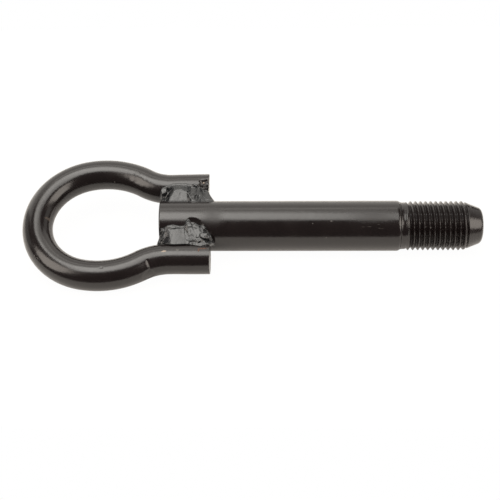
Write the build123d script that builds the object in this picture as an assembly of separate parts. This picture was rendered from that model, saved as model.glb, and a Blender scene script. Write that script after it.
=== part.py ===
# A screw-in tow eye for a car: a round bar bent to an eye, welded by its two legs
# to the sides of a turned steel shank whose far end carries the screw thread.
#
# The pieces are drawn about the shank's axis, +X towards the thread, with the crown
# of the eye centred on X = 0 and the eye's plane flat. At the end they are laid down
# as the tow eye comes to rest: the shank on the surface Z = 0, and the eye rolled
# about it until its right (-Y) side touches that surface too.
import os
from math import asin, atan, atan2, cos, degrees, radians, sin, sqrt, tan

from build123d import *

# Driving dimensions, millimetres and degrees
# The eye, one bent round bar. Bend radii are to the bar's centreline.
bar_diameter = 12.0
crown_radius = 23.8
crown_bend = 152.0          # turned through at the crown radius
flank_radius = 32.2         # the easier bend on each side of the crown
reverse_radius = 21.9       # the bend back to each leg
opening_length = 42.8       # inside the eye, from the crown to the end of the shank
eye_lift = 1.8              # height of the eye's plane over the shank's axis
root_gap = 0.6              # between each leg and the shank, before welding
left_lap = 19.2             # length of the left leg along the shank
right_lap = 20.6

# The shank, turned from round bar. Its thread is M20 x 2, drawn at full diameter.
shank_diameter = 20.0
plain_length = 95.3         # from the sawn end to the shoulder
sawn_edge = 0.5             # chamfer on the sawn end
shoulder_edge = 0.5         # chamfer on the shoulder
neck_diameter = 18.8        # run-out beside the shoulder
neck_length = 3.4
thread_diameter = 20.0
thread_length = 20.2        # at full diameter
thread_start_edge = 0.6     # length of the short cone where the thread begins
lead_length = 8.2           # tapered lead-in at the tip
lead_angle = 21.5           # half-angle of the taper
tip_edge_radius = 2.0

# The welds. A toe is the edge of a bead, as an angle about the bar that it lies on,
# from the line that joins the two bars' centres. A bead starts set_in past the sawn
# end of the shank and stops run_on past the end of its leg, or short of it below zero.
root_land = 1.0             # left unfilled on each side of that line
bead_taper = 2.4            # length of the thinner stretch at each end
bead_end_drop = 2.2         # fall of a bead's crest over that stretch
LEFT, RIGHT, TOP, UNDER = 1, -1, 1, -1
welds = {
    "weld_left_top": {
        "side": LEFT, "face": TOP, "leg_toe_angle": 86.0, "shank_toe_angle": 26.0,
        "bulge_height": 1.8, "set_in": 1.2, "run_on": 2.6,
    },
    "weld_right_top": {
        "side": RIGHT, "face": TOP, "leg_toe_angle": 58.0, "shank_toe_angle": 52.0,
        "bulge_height": 0.5, "set_in": -1.0, "run_on": 1.2,
    },
    "weld_left_under": {
        "side": LEFT, "face": UNDER, "leg_toe_angle": 46.0, "shank_toe_angle": 44.0,
        "bulge_height": 0.5, "set_in": 0.4, "run_on": -0.4,
    },
    "weld_right_under": {
        "side": RIGHT, "face": UNDER, "leg_toe_angle": 46.0, "shank_toe_angle": 44.0,
        "bulge_height": 0.5, "set_in": 0.4, "run_on": -0.4,
    },
}

# Worked out from those
bar_radius = bar_diameter / 2
shank_radius = shank_diameter / 2
leg_offset = sqrt((shank_radius + bar_radius + root_gap) ** 2 - eye_lift ** 2)
shank_start = opening_length - (crown_radius - bar_radius)
shank_length = plain_length + neck_length + thread_start_edge + thread_length + lead_length
leg_ends = {LEFT: shank_start + left_lap, RIGHT: shank_start + right_lap}

# Where the crown bend runs into a flank, and the flank into the bend back to the leg
join_angle = 180 - crown_bend / 2
ease = flank_radius - crown_radius
flank_x = -ease * cos(radians(join_angle))
flank_y = -ease * sin(radians(join_angle))
eye_half_width = flank_y + flank_radius
reverse_y = leg_offset + reverse_radius
rise = reverse_y - flank_y
reverse_x = flank_x + sqrt((flank_radius + reverse_radius) ** 2 - rise ** 2)
meet_angle = degrees(atan2(rise, reverse_x - flank_x))

# How it lies: the roll that brings the right side of the eye down to the shank's underside,
# and the move that puts the middle of its length and width over the origin
roll = degrees(asin((shank_radius - bar_radius) / sqrt(eye_half_width ** 2 + eye_lift ** 2))
               + atan(eye_lift / eye_half_width))
eye_far_end = -crown_radius - bar_radius
middle_x = (eye_far_end + shank_start + shank_length) / 2
axis_y = eye_lift * sin(radians(roll))
lying = Pos(-middle_x, axis_y, shank_radius) * Rot(roll, 0, 0)


def make_eye():
    """One bar swept along leg, bend back, flank, crown and the same again."""
    bend_back = meet_angle - 90
    flank_turn = join_angle - meet_angle
    path = Wire([
        Line((leg_ends[LEFT], leg_offset), (reverse_x, leg_offset)).edge(),
        CenterArc((reverse_x, reverse_y), reverse_radius, 270, bend_back).edge(),
        CenterArc((flank_x, flank_y), flank_radius, meet_angle, flank_turn).edge(),
        CenterArc((0, 0), crown_radius, join_angle, crown_bend).edge(),
        CenterArc((flank_x, -flank_y), flank_radius, -join_angle, flank_turn).edge(),
        CenterArc((reverse_x, -reverse_y), reverse_radius, 180 - meet_angle, bend_back).edge(),
        Line((reverse_x, -leg_offset), (leg_ends[RIGHT], -leg_offset)).edge(),
    ])
    section = Plane(path @ 0, z_dir=path % 0) * Circle(bar_radius)
    return Pos(0, 0, eye_lift) * sweep(section, path)


def make_shank():
    """A turned bar: sawn end, plain stretch, shoulder, neck, thread and tapered tip."""
    neck_radius = neck_diameter / 2
    thread_radius = thread_diameter / 2
    thread_start = plain_length + neck_length + thread_start_edge
    thread_end = thread_start + thread_length
    tip_radius = thread_radius - lead_length * tan(radians(lead_angle))
    outline = Polyline(
        (0, 0),
        (0, shank_radius - sawn_edge),
        (sawn_edge, shank_radius),
        (plain_length - shoulder_edge, shank_radius),
        (plain_length, shank_radius - shoulder_edge),
        (plain_length, neck_radius),
        (plain_length + neck_length, neck_radius),
        (thread_start, thread_radius),
        (thread_end, thread_radius),
        (shank_length, tip_radius),
        (shank_length, 0),
        close=True,
    )
    turned = revolve(make_face(outline), Axis.X)
    tip_rim = turned.edges().filter_by(GeomType.CIRCLE).sort_by(Axis.X)[-1]
    # turned back by the roll, so that the seam of the revolve ends up level with the axis
    return Pos(shank_start, 0, 0) * Rot(-roll, 0, 0) * fillet(tip_rim, tip_edge_radius)


def make_weld(side, face, leg_toe_angle, shank_toe_angle, bulge_height, set_in, run_on):
    """A bead along one valley, bevelled at both ends and cut to lie against both bars."""
    first = shank_start + set_in
    last = leg_ends[side] + run_on
    tilt = atan2(eye_lift, leg_offset)
    along = Vector(0, cos(tilt), sin(tilt))
    across = Vector(0, -sin(tilt), cos(tilt)) * face

    def on_bar(centre, radius, towards, toe_angle):
        toe = radians(toe_angle)
        return centre + (towards * cos(toe) + across * sin(toe)) * radius

    # The section at the bead's first end, drawn for the left leg
    shank_centre = Vector(first, 0, 0)
    leg_centre = Vector(first, leg_offset, eye_lift)
    leg_edge = on_bar(leg_centre, bar_radius, -along, leg_toe_angle)
    shank_edge = on_bar(shank_centre, shank_radius, along, shank_toe_angle)
    outward = (shank_edge - leg_edge).cross(Vector(face, 0, 0)).normalized()
    crest = (leg_edge + shank_edge) / 2 + outward * bulge_height
    leg_root = leg_centre + across * root_land
    shank_root = shank_centre + along * (shank_radius - bar_radius) + across * root_land
    outline = Curve() + [
        Line(leg_root, leg_edge),
        ThreePointArc(leg_edge, crest, shank_edge),
        Line(shank_edge, shank_root),
        Line(shank_root, leg_root),
    ]
    bead = extrude(make_face(outline), last - first, (1, 0, 0))

    for end, way in ((first, -1), (last, 1)):
        taper_start = (end - way * bead_taper, crest.Y, crest.Z)
        slope = outward * bead_taper + Vector(way * bead_end_drop, 0, 0)
        bead = split(bead, Plane(taper_start, z_dir=slope), Keep.BOTTOM)
    if side == RIGHT:
        bead = mirror(bead, Plane.XZ)
    return bead - eye - shank


eye = make_eye()
shank = make_shank()
pieces = {"eye_loop": eye, "threaded_shank": shank}
for name, sizes in welds.items():
    pieces[name] = make_weld(**sizes)

os.makedirs("parts", exist_ok=True)
for name, piece in pieces.items():
    export_step(lying * piece, f"parts/{name}.step")
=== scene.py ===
# A screw-in tow eye for a car, painted black: a bent bar welded to a threaded shank.
# It lies on a sheet of white card under soft studio light. Sizes are in millimetres, and go
# to metres where a mesh, a mark or the camera's aim is made. The card and lamps are in metres.
from math import asin, atan, atan2, cos, degrees, hypot, pi, radians, sin, sqrt, tan

import bmesh
import bpy
import numpy as np
from mathutils import Matrix, Vector, noise


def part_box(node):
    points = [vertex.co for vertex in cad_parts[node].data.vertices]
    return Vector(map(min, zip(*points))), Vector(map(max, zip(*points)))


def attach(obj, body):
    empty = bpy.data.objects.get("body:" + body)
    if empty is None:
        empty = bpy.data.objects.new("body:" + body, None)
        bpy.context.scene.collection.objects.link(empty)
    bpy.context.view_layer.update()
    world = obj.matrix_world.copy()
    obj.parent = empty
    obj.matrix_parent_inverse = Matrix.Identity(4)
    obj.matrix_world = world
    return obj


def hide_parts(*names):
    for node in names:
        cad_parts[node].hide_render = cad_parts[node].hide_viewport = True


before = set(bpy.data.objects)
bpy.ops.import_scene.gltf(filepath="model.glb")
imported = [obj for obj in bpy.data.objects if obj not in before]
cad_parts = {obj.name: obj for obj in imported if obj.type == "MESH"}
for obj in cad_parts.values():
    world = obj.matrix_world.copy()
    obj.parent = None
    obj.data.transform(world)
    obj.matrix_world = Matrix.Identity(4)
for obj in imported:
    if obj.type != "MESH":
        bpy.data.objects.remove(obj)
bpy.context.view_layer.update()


# The eye
# A round steel bar bent in a press to a loop with two straight legs, which are sawn off.
# The legs lie along the sides of the shank, and welds hold them there.
bar_radius = 6.0
crown_radius = 23.8           # bend radii are to the middle of the bar
crown_bend = 152.0            # degrees turned through at the crown radius
flank_radius = 32.2           # the easier bend on each side of the crown
reverse_radius = 21.9         # the bend back to each leg
opening_length = 42.8         # from the crown to the sawn end of the shank
eye_lift = 1.8                # of the eye's plane over the shank's axis
root_gap = 0.6                # between each leg and the shank
left_lap = 19.2               # of the left leg along the shank
right_lap = 20.6

shank_low, shank_high = (1000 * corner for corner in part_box("threaded_shank"))
shank_radius = (shank_high.z - shank_low.z) / 2
shank_axis = (shank_low + shank_high) / 2
leg_offset = sqrt((shank_radius + bar_radius + root_gap) ** 2 - eye_lift ** 2)
shank_start = opening_length - (crown_radius - bar_radius)
left_leg_end, right_leg_end = shank_start + left_lap, shank_start + right_lap
join_angle = 180 - crown_bend / 2
ease = flank_radius - crown_radius
flank_x = -ease * cos(radians(join_angle))
flank_y = -ease * sin(radians(join_angle))
eye_half_width = flank_y + flank_radius
reverse_y = leg_offset + reverse_radius
rise = reverse_y - flank_y
reverse_x = flank_x + sqrt((flank_radius + reverse_radius) ** 2 - rise ** 2)
meet_angle = degrees(atan2(rise, reverse_x - flank_x))
roll = asin((shank_radius - bar_radius) / hypot(eye_half_width, eye_lift))
roll += atan(eye_lift / eye_half_width)
rolled = np.array(Matrix.Rotation(roll, 3, "X"))


def lay(points):
    """Takes points from the eye's flat drawing to where the tow eye lies, rolled on to its side."""
    return points @ rolled.T + (shank_low.x - shank_start, shank_axis.y, shank_axis.z)


def centreline(step):
    """The middle of the bent bar and its heading, from the left leg's end to the right leg's end."""
    bend_back = 90 - meet_angle
    flank_turn = join_angle - meet_angle
    # a bend is its centre, radius, first angle and turn, and a leg is no centre and its two ends
    stretches = [
        (None, (left_leg_end, leg_offset), (reverse_x, leg_offset)),
        ((reverse_x, reverse_y), reverse_radius, 270, -bend_back),
        ((flank_x, flank_y), flank_radius, meet_angle, flank_turn),
        ((0, 0), crown_radius, join_angle, crown_bend),
        ((flank_x, -flank_y), flank_radius, -join_angle, flank_turn),
        ((reverse_x, -reverse_y), reverse_radius, 180 - meet_angle, -bend_back),
        (None, (reverse_x, -leg_offset), (right_leg_end, -leg_offset)),
    ]
    middles, headings = [], []
    for centre, *shape in stretches:
        if centre is None:
            start, end = np.array(shape[0]), np.array(shape[1])
            share = np.linspace(0, 1, int(np.linalg.norm(end - start) / step) + 1)[:, None]
            middles.append(start + share * (end - start))
            headings.append(np.full(len(share), atan2(*(end - start)[::-1])))
        else:
            radius, first, turn = shape
            count = int(radius * radians(abs(turn)) / step) + 1
            angle = np.radians(np.linspace(first, first + turn, count, endpoint=False)[1:])
            middles.append(centre + radius * np.stack([np.cos(angle), np.sin(angle)], 1))
            headings.append(angle + np.sign(turn) * pi / 2)
    return np.concatenate(middles), np.concatenate(headings)


def unevenness(points, size, seed):
    """Smooth random heights between about -1 and 1, in bumps `size` across."""
    shift = Vector((7.3, 3.1, 5.7)) * seed    # to another stretch of the noise
    heights = [noise.noise(Vector(point) / size + shift) for point in points.reshape(-1, 3)]
    return np.array(heights).reshape(points.shape[:-1])


def layered(points, layers, seed, seed_step=1):
    """Unevenness in layers, each with its height and the size of its bumps."""
    return sum(
        height * unevenness(points, size, seed + seed_step * number)
        for number, (height, size) in enumerate(layers)
    )


def from_line(points, line):
    """The distance from each point to a line of straight runs."""
    nearest = np.full(points.shape[:-1], np.inf)
    for start, end in zip(line[:-1], line[1:]):
        run = np.subtract(end, start)
        share = np.clip((points - start) @ run / (run @ run), 0, 1)
        nearest = np.minimum(nearest, np.linalg.norm(points - (start + share[..., None] * run), axis=-1))
    return nearest


def add_piece(name, rings, material, node, sharp=40):
    """A closed skin over rings of points, with each end drawn together to its middle."""
    count, around = rings.shape[:2]
    points = np.concatenate([rings.reshape(-1, 3), [rings[0].mean(0)], [rings[-1].mean(0)]])
    first_middle, last_middle = count * around, count * around + 1
    faces = []
    for corner in range(around):
        beside = (corner + 1) % around
        for ring in range(0, (count - 1) * around, around):
            after = ring + around
            faces.append((ring + corner, ring + beside, after + beside, after + corner))
        faces.append((first_middle, beside, corner))
        faces.append((last_middle, (count - 1) * around + corner, (count - 1) * around + beside))
    mesh = bpy.data.meshes.new(name)
    mesh.from_pydata((points / 1000).tolist(), [], faces)
    sorted_out = bmesh.new()
    sorted_out.from_mesh(mesh)
    bmesh.ops.recalc_face_normals(sorted_out, faces=sorted_out.faces)
    sorted_out.to_mesh(mesh)
    sorted_out.free()
    mesh.polygons.foreach_set("use_smooth", [True] * len(mesh.polygons))
    mesh.set_sharp_from_angle(angle=radians(sharp))
    mesh.materials.append(material)
    piece = bpy.data.objects.new(name, mesh)
    bpy.context.scene.collection.objects.link(piece)
    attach(piece, "root")
    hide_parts(node)


# The bar's skin, before it is laid down. Waves from rolling and bending run all along it,
# stronger in the legs, and small bumps cover the left bend where the press held it.
eye_step = 0.4
eye_around = 120
middles, headings = centreline(eye_step)
eye_turn = np.linspace(0, 2 * pi, eye_around, endpoint=False)
sideways = np.stack([-np.sin(headings), np.cos(headings), 0 * headings], 1)
upward = np.array([0, 0, 1.0])
outward = np.cos(eye_turn)[:, None] * sideways[:, None] + np.sin(eye_turn)[:, None] * upward
flat_middles = np.column_stack([middles, np.full(len(middles), eye_lift)])
bar_skin = flat_middles[:, None] + bar_radius * outward
travelled = np.concatenate([[0], np.cumsum(np.linalg.norm(np.diff(middles, axis=0), axis=1))])


def nearest_on_bar(place):
    """The ring and the spoke of the bar's skin nearest to a place."""
    gaps = np.linalg.norm(bar_skin - place, axis=-1)
    return np.unravel_index(gaps.argmin(), gaps.shape)


def near_on_bar(place, half_along, half_around):
    """1 at a place on the bar's skin, falling to 0 at those distances along it and around it."""
    ring, spoke = nearest_on_bar(place)
    along = (travelled - travelled[ring])[:, None] / half_along
    around = ((eye_turn - eye_turn[spoke] + pi) % (2 * pi) - pi)[None] * bar_radius / half_around
    return np.clip(1 - along ** 2 - around ** 2, 0, 1)


rolled_under = 0.05           # how far the skin lies under full size
wave_height, wave_size = 0.04, 9.0
leg_wave_height, leg_wave_size = 0.09, 8.0
leg_waves_start, leg_waves_full = 14.0, 22.0
bump_height, bump_size = 0.07, 1.6
left_bend_middle = (15.4, 17.8, 6.9)
in_legs = np.clip((bar_skin[..., 0] - leg_waves_start) / (leg_waves_full - leg_waves_start), 0, 1)
in_left_bend = near_on_bar(left_bend_middle, half_along=6, half_around=5)
relief = wave_height * unevenness(bar_skin, wave_size, 1) - rolled_under
relief += leg_wave_height * in_legs * unevenness(bar_skin, leg_wave_size, 2)
relief += bump_height * in_left_bend * unevenness(bar_skin, bump_size, 3)

# Where the press gripped the right bend: a flat on its outside, with a crease beside it
grip_flat = (22.4, -24.2, 2.4)
grip_crease = [(22.0, -20.6, 7.3), (22.5, -21.9, 6.3), (22.9, -22.9, 5.2), (22.5, -23.5, 4.5)]
foot_nick = (4.5, -24.1, 7.8)
flat_depth, nick_depth = 0.42, 0.16
crease_depth, crease_half_width = 0.24, 0.42
relief -= flat_depth * np.sqrt(near_on_bar(grip_flat, half_along=3.2, half_around=2.8))
relief -= crease_depth * np.exp(-(from_line(bar_skin, grip_crease) / crease_half_width) ** 2)
relief -= nick_depth * near_on_bar(foot_nick, half_along=0.6, half_around=0.5)

# The arc melted a rough flat into the left leg beside the weld, up to a thin lip at its end
melted_middle = (42.3, 13.85, 7.2)
melted_start, melted_end = 40.4, 44.0
melted_distance = 4.95        # of the flat from the middle of the bar
melted_steepness = 1.5        # share of its depth gained in each millimetre from its start
start_wander, start_wander_size = 0.6, 1.5
lump_height, lump_layers = 0.3, [(1.0, 1.3), (0.7, 0.7)]
lump_fade = 3.0               # share of the lumps' height for each millimetre of depth
melted_turn = eye_turn - eye_turn[nearest_on_bar(melted_middle)[1]]
facing = np.clip(np.cos(melted_turn), 0.1, 1)
melted_depth = np.clip(bar_radius - melted_distance / facing, 0, None)
ragged_start = melted_start - start_wander * unevenness(bar_skin, start_wander_size, 4)
melted_share = np.clip(melted_steepness * (bar_skin[..., 0] - ragged_start), 0, 1)
melted_share *= (bar_skin[..., 0] < melted_end) & (bar_skin[..., 1] > 0)
lumps = lump_height * np.clip(lump_fade * melted_depth, 0, 1) * layered(bar_skin, lump_layers, 5)
relief -= melted_share * (melted_depth - lumps)

# The left leg is sawn a little aslant, longer at its top, with a burr left on its edge
leg_slant = 0.04
leg_slant_reach = 5.0         # length over which the slant fades
burr = (left_leg_end, leg_offset + 2.6, eye_lift + 5.4)
burr_height, burr_length = 0.25, 0.15
burr_share = near_on_bar(burr, half_along=0.9, half_around=0.9)
eye_rings = bar_skin + (relief + burr_height * burr_share)[..., None] * outward
slant_share = np.clip(1 - travelled / leg_slant_reach, 0, 1)[:, None]
eye_rings[..., 0] += slant_share * leg_slant * (eye_rings[..., 2] - eye_lift) + burr_length * burr_share

# It also stands out a little from the shank towards its end
leg_spread, spread_start = 0.5, 23.0
spread_share = np.clip((middles[:, 0] - spread_start) / (left_leg_end - spread_start), 0, 1)
eye_rings[..., 1] += (leg_spread * spread_share * (middles[:, 1] > 0))[:, None]


def sawn_face(ring):
    """Rings that close the bar's end: a broken edge, then a flat face with faint saw marks."""
    broken_edge, saw_spacing, saw_depth = 0.05, 0.8, 0.015
    shares_inward = (0.03, 0.08, *np.arange(0.15, 0.96, 0.08))
    middle = ring.mean(0)
    rings = [ring - (broken_edge, 0, 0)]
    for share in shares_inward:
        inner = middle + (ring - middle) * (1 - share)
        inner[:, 0] += saw_depth * np.sin(2 * pi * inner[:, 2] / saw_spacing) - saw_depth
        rings.append(inner)
    return rings


eye_rings = np.concatenate([sawn_face(eye_rings[0])[::-1], eye_rings[1:-1], sawn_face(eye_rings[-1])])


def linear(hex_colour):
    """An sRGB hex colour as the linear colour that a shader takes."""
    shares = [int(hex_colour[place:place + 2], 16) / 255 for place in (1, 3, 5)]
    return [s / 12.92 if s <= 0.04045 else ((s + 0.055) / 1.055) ** 2.4 for s in shares] + [1.0]


def add_node(tree, kind, settings=None, links=None):
    """Adds a node, sets its properties and input values, and joins other sockets to its inputs."""
    node = tree.nodes.new(kind)
    for name, value in (settings or {}).items():
        if isinstance(name, int) or name in node.inputs:
            node.inputs[name].default_value = value
        else:
            setattr(node, name, value)
    for name, socket in (links or {}).items():
        tree.links.new(socket, node.inputs[name])
    return node


def marks_mask(tree, place, ragged, softness, marks):
    """1 in each of a group of marks, 0 outside them, with ragged edges of the softness given.

    A mark is its place with its directions, and its half length and half width.
    """
    mark_depth = 1.5              # how far it reaches into the part
    mark_edge = 0.9               # as a share of its half size
    fade = {
        "From Min": mark_edge - softness, "From Max": mark_edge + softness,
        "To Min": 1.0, "To Max": 0.0,
    }
    mask = None
    for (middle, directions), half_length, half_width in marks:
        settings = {
            "vector_type": "TEXTURE",
            "Location": Vector(middle) / 1000,
            "Rotation": Matrix(directions).to_euler(),
            "Scale": Vector((half_length, half_width, mark_depth)) / 1000,
        }
        local = add_node(tree, "ShaderNodeMapping", settings, {"Vector": place}).outputs[0]
        away = add_node(tree, "ShaderNodeVectorMath", {"operation": "LENGTH"}, {0: local}).outputs["Value"]
        edge = add_node(tree, "ShaderNodeMath", {"operation": "ADD"}, {0: away, 1: ragged}).outputs[0]
        inside = add_node(tree, "ShaderNodeMapRange", fade, {"Value": edge}).outputs["Result"]
        if mask is not None:
            either = add_node(tree, "ShaderNodeMath", {"operation": "MAXIMUM"}, {0: mask, 1: inside})
            inside = either.outputs[0]
        mask = inside
    return mask


def black_enamel(name, tones, roughness, peel_depth, nib_depth, wear):
    """Black enamel dipped over steel: a soft gloss, a faint orange peel and fine dust nibs in it.

    Wear is groups of marks. Each has the colour that shows there, or None for the enamel's own,
    its roughness, how soft its edge is, and its marks.
    """
    cloud_size, peel_size, nib_size, chip_size = 9.0, 1.8, 0.45, 0.7
    cloud_low, cloud_high, chip_middle = 0.3, 0.7, 0.5
    material = bpy.data.materials.new(name)
    material.use_nodes = True
    tree = material.node_tree
    shader = tree.nodes["Principled BSDF"]
    shader.inputs["IOR"].default_value = 1.5
    place = add_node(tree, "ShaderNodeTexCoord").outputs["Object"]

    def patches(size, detail):
        """A random pattern between 0 and 1, in patches of the size given."""
        settings = {"Scale": 1000 / size, "Detail": detail}
        return add_node(tree, "ShaderNodeTexNoise", settings, {"Vector": place}).outputs["Fac"]

    cloud = patches(cloud_size, 3.0)
    both_tones = {"data_type": "RGBA", 6: linear(tones[0]), 7: linear(tones[1])}
    colour = add_node(tree, "ShaderNodeMix", both_tones, {0: cloud}).outputs[2]
    gloss = add_node(
        tree, "ShaderNodeMapRange",
        {"From Min": cloud_low, "From Max": cloud_high, "To Min": roughness[0], "To Max": roughness[1]},
        {"Value": cloud},
    ).outputs["Result"]
    ragged = add_node(
        tree, "ShaderNodeMath",
        {"operation": "SUBTRACT", 1: chip_middle}, {0: patches(chip_size, 2.0)},
    ).outputs[0]
    for worn_colour, worn_roughness, softness, marks in wear:
        mask = marks_mask(tree, place, ragged, softness, marks)
        if worn_colour:
            worn = {"data_type": "RGBA", 7: linear(worn_colour)}
            colour = add_node(tree, "ShaderNodeMix", worn, {0: mask, 6: colour}).outputs[2]
        gloss = add_node(tree, "ShaderNodeMix", {3: worn_roughness}, {0: mask, 2: gloss}).outputs[0]
    peel = add_node(
        tree, "ShaderNodeBump", {"Distance": peel_depth / 1000}, {"Height": patches(peel_size, 1.0)}
    )
    nibs = add_node(
        tree, "ShaderNodeBump", {"Distance": nib_depth / 1000},
        {"Height": patches(nib_size, 1.0), "Normal": peel.outputs["Normal"]},
    )
    tree.links.new(colour, shader.inputs["Base Color"])
    tree.links.new(gloss, shader.inputs["Roughness"])
    tree.links.new(nibs.outputs["Normal"], shader.inputs["Normal"])
    return material


def on_bar(place):
    """Where a mark on the eye lies, and its directions along the bar, across and out of it."""
    ring, spoke = nearest_on_bar(place)
    heading = np.array([cos(headings[ring]), sin(headings[ring]), 0])
    out = outward[ring, spoke]
    directions = np.column_stack([heading, np.cross(out, heading), out])
    return lay(bar_skin[ring, spoke]), rolled @ directions


# Painted shade on a rough crust in the melted flat, and rust and bare patches where the paint is knocked or
# rubbed off
pocket_painted_shade, rust, bare_primer = "#0B0A0A", "#4A2D1B", "#8E8174"
dust_brown, rubbed_grey = "#3A3029", "#3F3C3A"
leg_rust = [(on_bar((43.0, -15.4, 7.2)), 1.8, 0.3), (on_bar((41.4, -16.1, 7.6)), 0.35, 0.6)]
eye_wear = [
    # painted shade: a darker tone, with a high roughness, laid into the melted pocket beside the weld
    (pocket_painted_shade, 0.6, 0.2, [(on_bar((42.4, 14.3, 7.6)), 2.2, 3.0)]),
    (rust, 0.6, 0.35, leg_rust),
    (bare_primer, 0.5, 0.3, [
        (on_bar((27.9, -16.65, 7.8)), 0.9, 0.35), (on_bar((42.3, 16.17, 7.79)), 0.6, 0.3),
    ]),
    (dust_brown, 0.5, 0.5, [
        (on_bar((-19.6, 0.0, 5.8)), 0.5, 0.8), (on_bar((-18.8, 0.0, 5.0)), 0.6, 0.9),
    ]),
    (rubbed_grey, 0.45, 0.3, [
        (on_bar((33.5, -15.8, 7.8)), 0.7, 0.35), (on_bar((-22.3, -17.2, 5.9)), 0.13, 0.8),
        (on_bar((-21.2, -18.5, 5.95)), 0.8, 0.13), (on_bar((5.9, 18.5, 4.6)), 0.3, 0.3),
        (on_bar((22.6, -22.0, 6.2)), 0.22, 1.5),
    ]),
]
bar_tones, bar_roughness, bar_peel_depth = ("#0F0B0B", "#150F0F"), (0.17, 0.24), 0.02
eye_paint = black_enamel(
    "black_enamel_on_bent_bar", bar_tones, bar_roughness, bar_peel_depth, nib_depth=0.004, wear=eye_wear
)
add_piece("bent_eye", lay(eye_rings), eye_paint, "eye_loop")


# The shank
# A steel bar turned to a rounded shoulder and a hollow neck, with an M20 x 2 thread rolled
# beyond it and a taper at the tip that finds the socket.
plain_length = 95.3
sawn_edge = 0.5
sawn_slant = 0.025            # the near side of the sawn end is cut further in
sawn_slant_reach = 6.0        # length over which the slant fades
shoulder_length, shoulder_depth = 1.3, 0.6
neck_radius = 9.4
neck_hollow = 0.12            # how far its middle lies below its ends
neck_fillet = 0.2             # at the foot of the shoulder
neck_length = 3.4
thread_length = 20.8
thread_radius = 9.76          # at the rounded crests
thread_pitch = 2.0
thread_depth = 1.1
thread_shift = 1.55           # sets where the crests fall
thread_roundness = 0.97       # 1 would give sharp crests and roots
crest_blend = 0.3             # height over which the crests run out on the cone
run_in_length = 1.6
lead_angle = radians(21.5)
tip_edge_radius = 2.0
turning_mark_spacing, turning_mark_depth = 0.5, 0.008

shank_length = shank_high.x - shank_low.x
neck_end = plain_length + neck_length
lead_start = neck_end + thread_length
shank_around = 180
plain_step, welded_step, thread_step = 0.8, 0.25, 0.1     # between rings along the shank


def eased(share):
    """A share from 0 to 1 with a soft start and a soft end."""
    return share * share * (3 - 2 * share)


def soft_max(first, second, blend):
    """The higher of two surfaces, with the crease between them rounded over."""
    share = np.clip(0.5 + 0.5 * (first - second) / blend, 0, 1)
    return second + (first - second) * share + blend / 2 * share * (1 - share)


# The outline as (length, radius): round the sawn edge, along, round the shoulder, into the neck and
# on to the cone, and then round the tip's rim, tangent to the cone and to the end face
quarter = np.linspace(0, pi / 2, 7)
sawn_round = [
    (sawn_edge * (1 - sin(angle)), shank_radius - sawn_edge * (1 - cos(angle)))
    for angle in quarter[::-1]
]
plain_start, welded_start, welded_end = 1.2, 9.0, 21.0
plain_places = np.concatenate([
    np.arange(plain_start, welded_start, plain_step),
    np.arange(welded_start, welded_end, welded_step),
    np.arange(welded_end, plain_length - shoulder_length, plain_step),
])
plain = [(x, shank_radius) for x in plain_places]
shoulder = [
    (plain_length - shoulder_length * (1 - sin(angle)), shank_radius - shoulder_depth * (1 - cos(angle)))
    for angle in quarter
]
neck_places = np.arange(plain_length + thread_step, neck_end, thread_step)
neck_share = (neck_places - plain_length) / neck_length
neck_radii = neck_radius - 4 * neck_hollow * neck_share * (1 - neck_share)
neck_radii += neck_fillet * np.exp(-(neck_places - plain_length) / neck_fillet)
neck = list(zip(neck_places, neck_radii))
rim_x = shank_length - tip_edge_radius
rim_radius = shank_radius - (rim_x - lead_start) * tan(lead_angle) - tip_edge_radius / cos(lead_angle)
rim_start = rim_x + tip_edge_radius * sin(lead_angle)
threaded_part = [
    (x, shank_radius - max(0, x - lead_start) * tan(lead_angle))
    for x in np.arange(neck_end, rim_start, thread_step)
]
rim = [
    (rim_x + tip_edge_radius * cos(angle), rim_radius + tip_edge_radius * sin(angle))
    for angle in np.linspace(pi / 2 - lead_angle, 0, 14)
]
end_face = [(shank_length, rim_radius * share) for share in (0.9, 0.7, 0.4, 0.15)]
lengths, radii = np.array(sawn_round + plain + shoulder + neck + threaded_part + rim + end_face).T

# The thread is a smoothed saw-tooth wave wound about the axis, rising out of the neck
# and running out on the cone
shank_turn = np.linspace(0, 2 * pi, shank_around, endpoint=False)
wound = np.cos(2 * pi * (lengths[:, None] + thread_shift) / thread_pitch - shank_turn[None] + pi)
tooth = np.arcsin(thread_roundness * wound) / asin(thread_roundness)
threaded = thread_radius - thread_depth * (0.5 - 0.5 * tooth)
run_in = eased(np.clip((lengths - neck_end + run_in_length) / run_in_length, 0, 1))[:, None]
shank_skin = np.tile(radii[:, None], shank_around)
in_neck = (lengths > plain_length + thread_step / 2) & (lengths < neck_end)
in_thread = (lengths >= neck_end) & (lengths <= rim_start)
shank_skin[in_neck] += (run_in * (threaded - neck_radius))[in_neck]
shank_skin[in_thread] = -soft_max(-threaded, -shank_skin, crest_blend)[in_thread]

# The first half of the cone keeps the marks of the turning tool, and a fine step ends them
marks_start, marks_end = lead_start + 2.5, lead_start + 4.7
tool_marks = turning_mark_depth * np.sin(2 * pi * lengths / turning_mark_spacing) - turning_mark_depth
shank_skin += np.where((lengths > marks_start) & (lengths < marks_end), tool_marks, 0)[:, None]

# The arc melted a groove into the shank beside the right weld, as (length, degrees about the shank)
undercut = [(13.1, 126.5), (13.8, 126.5), (15.0, 128.5), (15.9, 132), (16.5, 136)]
undercut_depth, undercut_half_width = 0.6, 1.6
undercut_line = [(length, radians(turn) * shank_radius, 0) for length, turn in undercut]
unrolled = np.stack(np.broadcast_arrays(lengths[:, None], shank_turn[None] * shank_radius, 0.0), -1)
from_undercut = from_line(unrolled, undercut_line) / undercut_half_width
shank_skin -= undercut_depth * np.clip(1 - from_undercut ** 2, 0, 1)

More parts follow.
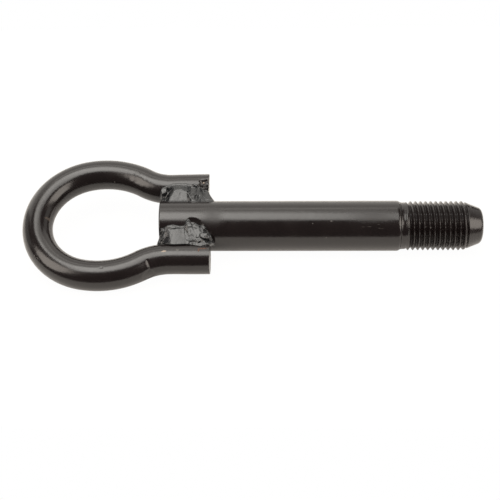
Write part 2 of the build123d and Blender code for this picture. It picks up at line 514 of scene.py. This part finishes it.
spokes = np.stack([0 * shank_turn, np.cos(shank_turn), np.sin(shank_turn)], 1)
shank_rings = shank_skin[..., None] * spokes[None] + np.array([1.0, 0, 0]) * lengths[:, None, None]
slant_share = np.clip(1 - lengths / sawn_slant_reach, 0, 1)[:, None]
shank_rings[..., 0] += slant_share * sawn_slant * (shank_radius - shank_rings[..., 1])
shank_rings += (shank_low.x, shank_axis.y, shank_axis.z)


def on_shank(length, turn):
    """Where a mark on the shank lies, and its directions along the shank, across and out of it."""
    out = np.array([0, cos(radians(turn)), sin(radians(turn))])
    middle = np.array([shank_low.x + length, shank_axis.y, shank_axis.z]) + shank_radius * out
    return middle, np.column_stack([(1, 0, 0), np.cross(out, (1, 0, 0)), out])


scuffed_brown = "#231E1C"
shank_wear = [
    (None, 0.42, 0.6, [(on_shank(21.5, 114), 4.0, 5.0), (on_shank(84.5, 113), 8.0, 2.6)]),
    (scuffed_brown, 0.45, 0.5, [
        (on_shank(80.3, 139.5), 0.7, 0.14), (on_shank(82.6, 138.8), 0.9, 0.14),
        (on_shank(86.5, 142.3), 0.6, 0.13), (on_shank(87.5, 143.2), 0.7, 0.13),
        (on_shank(86.3, 134), 0.6, 0.1), (on_shank(82.6, 121.8), 1.3, 0.14),
    ]),
    (rubbed_grey, 0.5, 0.3, [
        (on_shank(60.6, 131.5), 0.22, 0.22), (on_shank(65.9, 163.6), 0.3, 0.25),
        (on_shank(67.9, 126), 0.4, 0.3), (on_shank(102.4, 131.5), 0.3, 0.4),
        (on_shank(106.6, 141.8), 0.4, 0.4), (on_shank(104.7, 139.3), 0.5, 0.3),
    ]),
]
shank_paint = black_enamel(
    "black_enamel_on_turned_bar", bar_tones, bar_roughness, bar_peel_depth, nib_depth=0.006, wear=shank_wear
)
add_piece("rolled_thread_shank", shank_rings, shank_paint, "threaded_shank")


# The welds
# Four beads laid by hand in the valleys between the legs and the shank, two of them in
# view: frozen puddles with lapped edges, craters and grit, painted over with the rest.
LEFT, RIGHT, TOP, UNDER = 1, -1, 1, -1
bead_step = 0.1               # between rings along a bead
bead_across = 110             # points over a bead from leg to shank
toe_sink = 0.35               # the bead's edges go this far into both bars
toe_slope = 3.0               # the steepest fall to the bead's edges
nose_length = 1.0             # over which each end of a bead rounds off
nose_fullness = 0.25          # share of its section left at the very end
rim_slope = 3.0               # of a puddle's rim, in millimetres of fall for each of its half widths
crease_blend = 0.35           # height over which two puddles run into each other
film_thickness = 0.12         # of the weld metal where it only coats a bar
film_dip, film_dip_reach = 0.45, 0.25     # the film goes under the bar's skin at the bead's edges
grit_height = 0.035
edge_grit_height, edge_grit_reach = 0.1, 0.4
grit_layers = [(1.0, 1.4), (0.5, 0.7), (0.15, 0.35)]      # heights and sizes of its bumps
wander_layers = [(0.4, 2.4), (0.2, 0.9)]                  # how far a form's edge strays, and over what
rough_fullness = 1.6          # above 1 it gives a rough spot an even middle


def curve(points, at):
    """A smooth run through (place, value) points."""
    places, values = (np.array(column, float) for column in zip(*points))
    slopes = np.gradient(values, places)
    after = np.clip(np.searchsorted(places, at), 1, len(places) - 1)
    run = places[after] - places[after - 1]
    share = np.clip((at - places[after - 1]) / run, 0, 1)
    leaving = share * (1 - share) ** 2 * slopes[after - 1]
    arriving = share * share * (share - 1) * slopes[after]
    steps = values[after - 1] * (1 - eased(share)) + values[after] * eased(share)
    return steps + run * (leaving + arriving)


def puddle_top(
    at_along, at_over, along, over, height, falls, crest=None, crown=0, lean=0, taper=0, square=4
):
    """The top of one puddle of weld metal, with a steep rim all round it.

    `along` is its middle and half length, and `over` its ridge and half width. From the ridge it
    falls to the leg and to the shank at two slopes, and a crest draws the ridge as a curve. A crown
    rounds it, a lean lowers its far end, a taper shortens it towards the shank, and a high `square`
    squares its outline.
    """
    (middle, half_length), (ridge, half_width) = along, over
    from_middle, from_ridge = at_along - middle, at_over - ridge
    length_here = half_length * (1 - taper * from_ridge / half_width)
    spread = np.abs(from_middle / length_here) ** square + np.abs(from_ridge / half_width) ** square
    spread = spread ** (1 / square)
    to_leg, to_shank = falls
    leg_slope, shank_slope = from_ridge * to_leg, -from_ridge * to_shank
    if crest is not None:
        leg_slope = leg_slope - (curve(crest, at_along) - ridge) * (to_leg + to_shank)
    top = height - soft_max(-leg_slope, -shank_slope, crease_blend)
    top = top - crown * spread ** 2 - lean * from_middle
    return top - rim_slope * np.clip(spread - 1, 0, None)


def nearness(at_along, at_over, along, over, half_length, half_width):
    """1 in the middle of a spot on a bead, falling to 0 at its edge."""
    return np.clip(1 - ((at_along - along) / half_length) ** 2 - ((at_over - over) / half_width) ** 2, 0, 1)


def bead_rings(
    side, face, seed, wetting, leg_toe, shank_toe, starts, ends, valley, puddles, pits, grains, rough_spots
):
    """Rings along one bead, with lengths from the shank's sawn end and widths from the edge on the leg.

    The toes are the bead's edges, as angles about the leg and the shank from the line between
    their centres. Starts, ends and `valley` go by shares of the width, from leg to shank. Heights
    are over the straight line between the edges: `valley` is the lowest form, and the highest of
    the puddles shows over it. Wetting is how far the bead rises to meet the leg and the shank.
    Pits, grains and rough spots are (length, width, half length, half width, height).
    """
    tilt = atan2(eye_lift, leg_offset)
    out = np.array([cos(tilt), sin(tilt)])
    up = face * np.array([-sin(tilt), cos(tilt)])
    longest = max(end for _, end in ends) - min(start for _, start in starts)
    share = np.linspace(0, 1, int(longest / bead_step))[:, None]
    across = np.linspace(0, 1, bead_across)[None]
    first, last = curve(starts, across), curve(ends, across)
    along = first + share * (last - first)

    leg_angle = np.radians(curve(leg_toe, along[:, 0]))[:, None]
    shank_angle = np.radians(curve(shank_toe, along[:, -1]))[:, None]
    leg_middle, shank_middle = np.array([leg_offset, eye_lift]), np.zeros(2)
    leg_edge = leg_middle + (bar_radius - toe_sink) * (-np.cos(leg_angle) * out + np.sin(leg_angle) * up)
    shank_edge = (shank_radius - toe_sink) * (np.cos(shank_angle) * out + np.sin(shank_angle) * up)
    chord = shank_edge - leg_edge
    width = np.linalg.norm(chord, axis=1)[:, None]
    proud = np.stack([-chord[:, 1], chord[:, 0]], 1) / width
    proud *= np.sign(proud @ up)[:, None]
    over = across * width
    line = leg_edge[:, None] + across[..., None] * chord[:, None]

    def bar_height(middle, radius):
        """How far a bar's own surface stands over the straight line between the edges."""
        far_below = -10
        from_bar = line - middle
        rise = (from_bar * proud[:, None]).sum(-1)
        inside = radius ** 2 - (from_bar ** 2).sum(-1) + rise ** 2
        return np.where(inside > 0, np.sqrt(np.abs(inside)) - rise, far_below)

    # Every form is bent a little by chance, so that none has a drawn edge
    place = np.stack([along, over, 0 * along], -1)
    bent_along = along + layered(place, wander_layers, seed + 5, seed_step=2)
    bent_over = over + layered(place, wander_layers, seed + 6, seed_step=2)

    heights = curve(valley, across) + 0 * along
    for puddle in puddles:
        heights = soft_max(puddle_top(bent_along, bent_over, **puddle), heights, crease_blend)
    to_edge = np.minimum(over, width - over)
    heights = -soft_max(-heights, -toe_slope * to_edge, crease_blend)
    film = film_thickness - film_dip * np.exp(-to_edge / film_dip_reach)
    heights = soft_max(heights, bar_height(leg_middle, bar_radius) + film, wetting[0])
    heights = soft_max(heights, bar_height(shank_middle, shank_radius) + film, wetting[1])
    for way, spots in ((-1, pits), (1, grains)):
        for *spot, height in spots:
            heights = heights + way * height * eased(nearness(bent_along, bent_over, *spot))

    rough = grit_height + edge_grit_height * np.exp(-to_edge / edge_grit_reach)
    for *spot, height in rough_spots:
        share_here = np.clip(rough_fullness * nearness(bent_along, bent_over, *spot), 0, 1)
        rough = np.maximum(rough, height * share_here)
    heights = heights + rough * layered(place, grit_layers, seed + 2)

    # The section shrinks towards the root between the two bars at both ends
    root = leg_middle * shank_radius / (shank_radius + bar_radius)
    skin = line + heights[..., None] * proud[:, None]
    from_end = np.clip(np.minimum(along - along[:1], along[-1:] - along) / nose_length, 0, 1)
    fullness = nose_fullness + (1 - nose_fullness) * np.sqrt(1 - (1 - from_end) ** 2)
    skin = root + (skin - root) * fullness[..., None]
    points = np.concatenate([along[..., None] + shank_start, skin], -1)
    roots = np.column_stack([along.mean(1) + shank_start, np.tile(root, (len(along), 1))])
    rings = np.concatenate([points, roots[:, None]], 1)
    rings[..., 1] *= side
    return rings


welds = {
    "weld_right_top": dict(
        side=RIGHT, face=TOP, seed=11, wetting=(0.15, 0.2),
        leg_toe=[
            (-1, 44), (2, 46), (4, 57), (10, 59), (11.5, 57), (13, 59), (15, 66), (19, 70), (21.5, 60),
        ],
        shank_toe=[
            (-1, 46), (2.4, 48), (4, 53), (5.7, 55), (7.9, 53.5), (9.5, 51.5), (10.6, 54), (11.4, 66),
            (12.4, 67), (13.2, 58), (15.1, 57.5), (16.3, 53.5), (17.9, 53), (19.1, 48), (21, 38),
        ],
        starts=[(0, -0.5), (0.2, -0.3), (0.4, 0.0), (0.7, 0.3), (1, 0.4)],
        ends=[(0, 21.0), (0.2, 22.3), (0.5, 22.0), (0.75, 20.8), (1, 19.6)],
        valley=[(0, 0.1), (0.08, 0.4), (0.3, -0.3), (0.55, -0.8), (0.8, -0.4), (0.96, 0.45), (1, 0.1)],
        puddles=[
            # the flat puddle and its upper rim
            dict(along=(7.3, 4.6), over=(3.9, 3.9), height=0.75, falls=(-0.06, 0.06), taper=0.18, square=8),
            dict(along=(7.4, 3.6), over=(7.4, 0.7), height=0.7, falls=(0.2, 0.2), crown=0.1),
            # the last puddle, a low one by the leg, the lip of the undercut and a tongue at the far end
            dict(along=(14.4, 3.5), over=(5.2, 3.6), height=0.85, falls=(-0.02, 0.06), crown=0.1),
            dict(along=(15.0, 3.9), over=(0.9, 2.6), height=0.6, falls=(0.1, 0.0), crown=0.1, lean=0.06),
            dict(along=(14.6, 3.4), over=(7.9, 1.0), height=0.8, falls=(0.06, 0.3), crown=0.2, square=3),
            dict(along=(18.9, 2.0), over=(4.0, 1.1), height=1.35, falls=(0.04, -0.04), crown=0.05, square=3),
            # a drop beside the undercut and one at each end
            dict(along=(12.0, 0.75), over=(9.3, 0.8), height=0.45, falls=(-0.06, 0.06)),
            dict(along=(2.3, 0.9), over=(5.7, 0.8), height=0.6, falls=(-0.2, 0.2), square=3),
            dict(along=(17.9, 1.0), over=(8.1, 0.6), height=0.6, falls=(-0.06, 0.06), square=3),
        ],
        pits=[(16.6, 2.9, 1.6, 0.8, 0.1)],
        grains=[(1.2, 6.1, 0.5, 0.5, 0.7), (1.9, 1.9, 0.5, 0.4, 0.6)],
        rough_spots=[(1.2, 3.5, 2.0, 4.5, 0.4), (14.8, 8.2, 4.0, 1.2, 0.06), (20.4, 2.5, 2.0, 4.0, 0.25)],
    ),
    "weld_left_top": dict(
        side=LEFT, face=TOP, seed=23, wetting=(0.15, 0.8),
        leg_toe=[
            (-1, 66), (1, 72), (3, 80), (5.5, 88), (10, 88), (12, 85), (14, 84), (15.4, 76), (16.6, 66),
            (23, 64),
        ],
        shank_toe=[
            (-1, 38), (3, 40), (8, 40), (10.6, 40), (11.6, 40.5), (12.8, 45), (15, 45), (16.5, 41), (23, 41),
        ],
        starts=[(0, 0.0), (0.25, -0.5), (0.5, 0.2), (0.8, 0.6), (1, 1.0)],
        ends=[(0, 19.8), (0.3, 20.4), (0.6, 21.3), (1, 22.6)],
        valley=[(0, 0.1), (0.1, 0.0), (0.4, -1.0), (0.7, -0.9), (0.95, -0.1), (1, 0.0)],
        puddles=[
            # the first drop
            dict(along=(1.2, 1.1), over=(2.0, 1.2), height=0.3, falls=(-0.12, 0.12), square=3),
            # the humped puddle, with a shelf below its crest that faces the light
            dict(
                along=(8.4, 4.6), over=(3.3, 7.0), height=0.95, falls=(0.28, 0.15), square=8,
                crest=[
                    (3.6, 7.2), (4.4, 5.8), (5.4, 4.1), (7.2, 3.6), (9.1, 3.7), (10.7, 4.7), (11.9, 6.2),
                    (13, 7.4),
                ],
            ),
            # the one after it, and the last by the leg's end
            dict(along=(14.4, 2.2), over=(9.0, 8.5), height=0.35, falls=(0.05, 0.1), crown=0.05, square=6),
            dict(along=(18.9, 3.8), over=(3.4, 6.0), height=0.35, falls=(0.0, 0.0), crown=0.05, square=8),
        ],
        pits=[(8.4, 5.6, 0.9, 0.7, 0.05), (15.6, 6.4, 0.7, 2.0, 0.15), (2.4, 5.6, 1.3, 2.6, 0.6)],
        grains=[(2.9, 1.2, 1.0, 0.7, 0.4), (14.1, 0.8, 1.3, 1.1, 0.3), (17.6, 0.9, 0.5, 0.8, 0.2)],
        rough_spots=[(2.0, 5.4, 1.7, 3.4, 0.4), (17.3, 0.4, 3.0, 0.7, 0.2), (13.7, 6.4, 1.3, 2.2, 0.24)],
    ),
}

# The two underneath, out of sight, are laid in one pass with an even weave
weave_start, weave_end_gap, weave_pitch = 1.9, 0.8, 1.6
for name, side, length, seed in (("weld_left_under", LEFT, 18.6, 37), ("weld_right_under", RIGHT, 20.0, 41)):
    welds[name] = dict(
        side=side, face=UNDER, seed=seed, wetting=(0.3, 0.3),
        leg_toe=[(0, 46), (22, 48)],
        shank_toe=[(0, 44), (22, 45)],
        starts=[(0, 0.4), (1, 0.6)],
        ends=[(0, length), (1, length + 0.3)],
        valley=[(0, 0.0), (0.06, 0.35), (0.5, 0.55), (0.94, 0.35), (1, 0.0)],
        puddles=[
            dict(
                along=(middle, 1.5), over=(3.4, 3.3), height=0.95, falls=(0.1, 0.1),
                crown=0.3, lean=0.18, square=2,
            )
            for middle in np.arange(weave_start, length - weave_end_gap, weave_pitch)
        ],
        pits=[], grains=[], rough_spots=[(10, 3, 16, 8, 0.07)],
    )
weld_paint = black_enamel(
    "black_enamel_on_weld", ("#101113", "#17181A"), (0.2, 0.28), peel_depth=0.03, nib_depth=0.01,
    wear=[(rust, 0.6, 0.35, leg_rust)],
)
for name, shape in welds.items():
    bead = lay(bead_rings(**shape))
    add_piece(name.replace("weld", "bead"), bead, weld_paint, name, sharp=180)


# The table and the light
# A sheet of white card under a wide soft box, with one more at each side and white walls
# around. The lens sees the card burnt out to plain white, with only a trace of shadow.
card_left, card_right, card_front, card_back = -0.6, 0.6, -0.09, 0.16
card_corners = [
    (card_left, card_front, 0), (card_right, card_front, 0),
    (card_right, card_back, 0), (card_left, card_back, 0),
]
card = bpy.data.meshes.new("white_card")
card.from_pydata(card_corners, [], [(0, 1, 2, 3)])
card_finish = bpy.data.materials.new("matt_white_card")
card_finish.use_nodes = True
card_tree = card_finish.node_tree
card_shader = card_tree.nodes["Principled BSDF"]
card_shader.inputs["Base Color"].default_value = linear("#C4C2BF")
card_shader.inputs["Roughness"].default_value = 1.0
card_shader.inputs["Specular IOR Level"].default_value = 0.0
card_shader.inputs["Emission Color"].default_value = linear("#FFF9F2")
card_shader.inputs["Emission Strength"].default_value = 0.48
burnt_share = 0.95            # the rest shows a trace of shadow
burnt_out = add_node(card_tree, "ShaderNodeEmission", {"Color": (1, 1, 1, 1), "Strength": 1.0})
to_lens = add_node(card_tree, "ShaderNodeLightPath").outputs["Is Camera Ray"]
whiteness = add_node(card_tree, "ShaderNodeMath", {"operation": "MULTIPLY", 1: burnt_share}, {0: to_lens})
card_look = add_node(
    card_tree, "ShaderNodeMixShader", {},
    {0: whiteness.outputs[0], 1: card_shader.outputs[0], 2: burnt_out.outputs[0]},
)
card_tree.links.new(card_look.outputs[0], card_tree.nodes["Material Output"].inputs["Surface"])
card.materials.append(card_finish)
floor = bpy.data.objects.new("white_card", card)
bpy.context.scene.collection.objects.link(floor)

overhead_white, lamp_white, wall_white = "#FFFCF6", "#FFF5EA", "#FFFBF3"
soft_boxes = {
    # name: (degrees right of the camera, degrees up, metres aside, width, height, brightness, colour)
    "overhead_soft_box": (0, 87.0, -0.05, 0.66, 0.54, 3.7, overhead_white),
    "overhead_left_soft_box": (0, 94.2, -0.145, 0.44, 0.60, 1.9, overhead_white),
    "overhead_far_left_soft_box": (0, 93.4, -0.23, 0.24, 0.54, 1.5, overhead_white),
    "left_round_soft_box": (-65, 37.5, 0, 0.56, 0.76, 4.8, lamp_white),
    "right_soft_box": (65, 34.7, 0, 0.68, 0.72, 4.4, lamp_white),
    "back_soft_box": (192, 62, 0, 0.62, 0.46, 1.7, wall_white),
    "white_back_wall": (194, 25, 0, 1.60, 1.05, 1.2, wall_white),
    "white_right_wall": (122, 20, 0, 0.70, 0.60, 0.65, wall_white),
    "white_left_wall": (-116, 12, 0, 0.80, 0.50, 0.45, wall_white),
}
box_distance = 0.9
for name, (turn, height, aside, width, tall, brightness, colour) in soft_boxes.items():
    lamp = bpy.data.lights.new(name, "AREA")
    lamp.shape = "ELLIPSE" if "round" in name else "RECTANGLE"
    lamp.size, lamp.size_y = width, tall
    area = width * tall * (pi / 4 if "round" in name else 1)
    lamp.energy = brightness * area * pi
    lamp.color = linear(colour)[:3]
    box = bpy.data.objects.new(name, lamp)
    faced = Matrix.Rotation(radians(turn), 4, "Z") @ Matrix.Rotation(radians(90 - height), 4, "X")
    box.matrix_world = faced @ Matrix.Translation((aside, 0, box_distance))
    box.visible_camera = False
    bpy.context.scene.collection.objects.link(box)

world = bpy.data.worlds.new("studio")
world.use_nodes = True
bpy.context.scene.world = world
room = world.node_tree
dim_room = room.nodes["Background"]
dim_room.inputs["Color"].default_value = linear("#FFF8F4")
dim_room.inputs["Strength"].default_value = 0.12
plain_white = add_node(room, "ShaderNodeBackground", {"Color": (1, 1, 1, 1), "Strength": 1.0})
to_lens = add_node(room, "ShaderNodeLightPath").outputs["Is Camera Ray"]
shown = add_node(
    room, "ShaderNodeMixShader", {},
    {0: to_lens, 1: dim_room.outputs[0], 2: plain_white.outputs[0]},
)
room.links.new(shown.outputs[0], room.nodes["World Output"].inputs["Surface"])

# The camera looks down at the shank's side, a little from the right
sawn_end = Vector((shank_low.x, shank_axis.y, shank_axis.z))
aim = (sawn_end + Vector((36.193, -13.669, 0))) / 1000
camera_turn, camera_height, camera_lean, camera_distance = 1.988, 44.494, -1.471, 0.4
lens = bpy.data.cameras.new("camera")
lens.lens = 73.83
lens.clip_start = 0.01
camera = bpy.data.objects.new("camera", lens)
turned_to = (
    Matrix.Rotation(radians(camera_turn), 4, "Z")
    @ Matrix.Rotation(radians(90 - camera_height), 4, "X")
    @ Matrix.Rotation(radians(camera_lean), 4, "Z")
)
camera.matrix_world = Matrix.Translation(aim) @ turned_to @ Matrix.Translation((0, 0, camera_distance))
bpy.context.scene.collection.objects.link(camera)
bpy.context.scene.camera = camera
bpy.context.scene.view_settings.view_transform = "Standard"
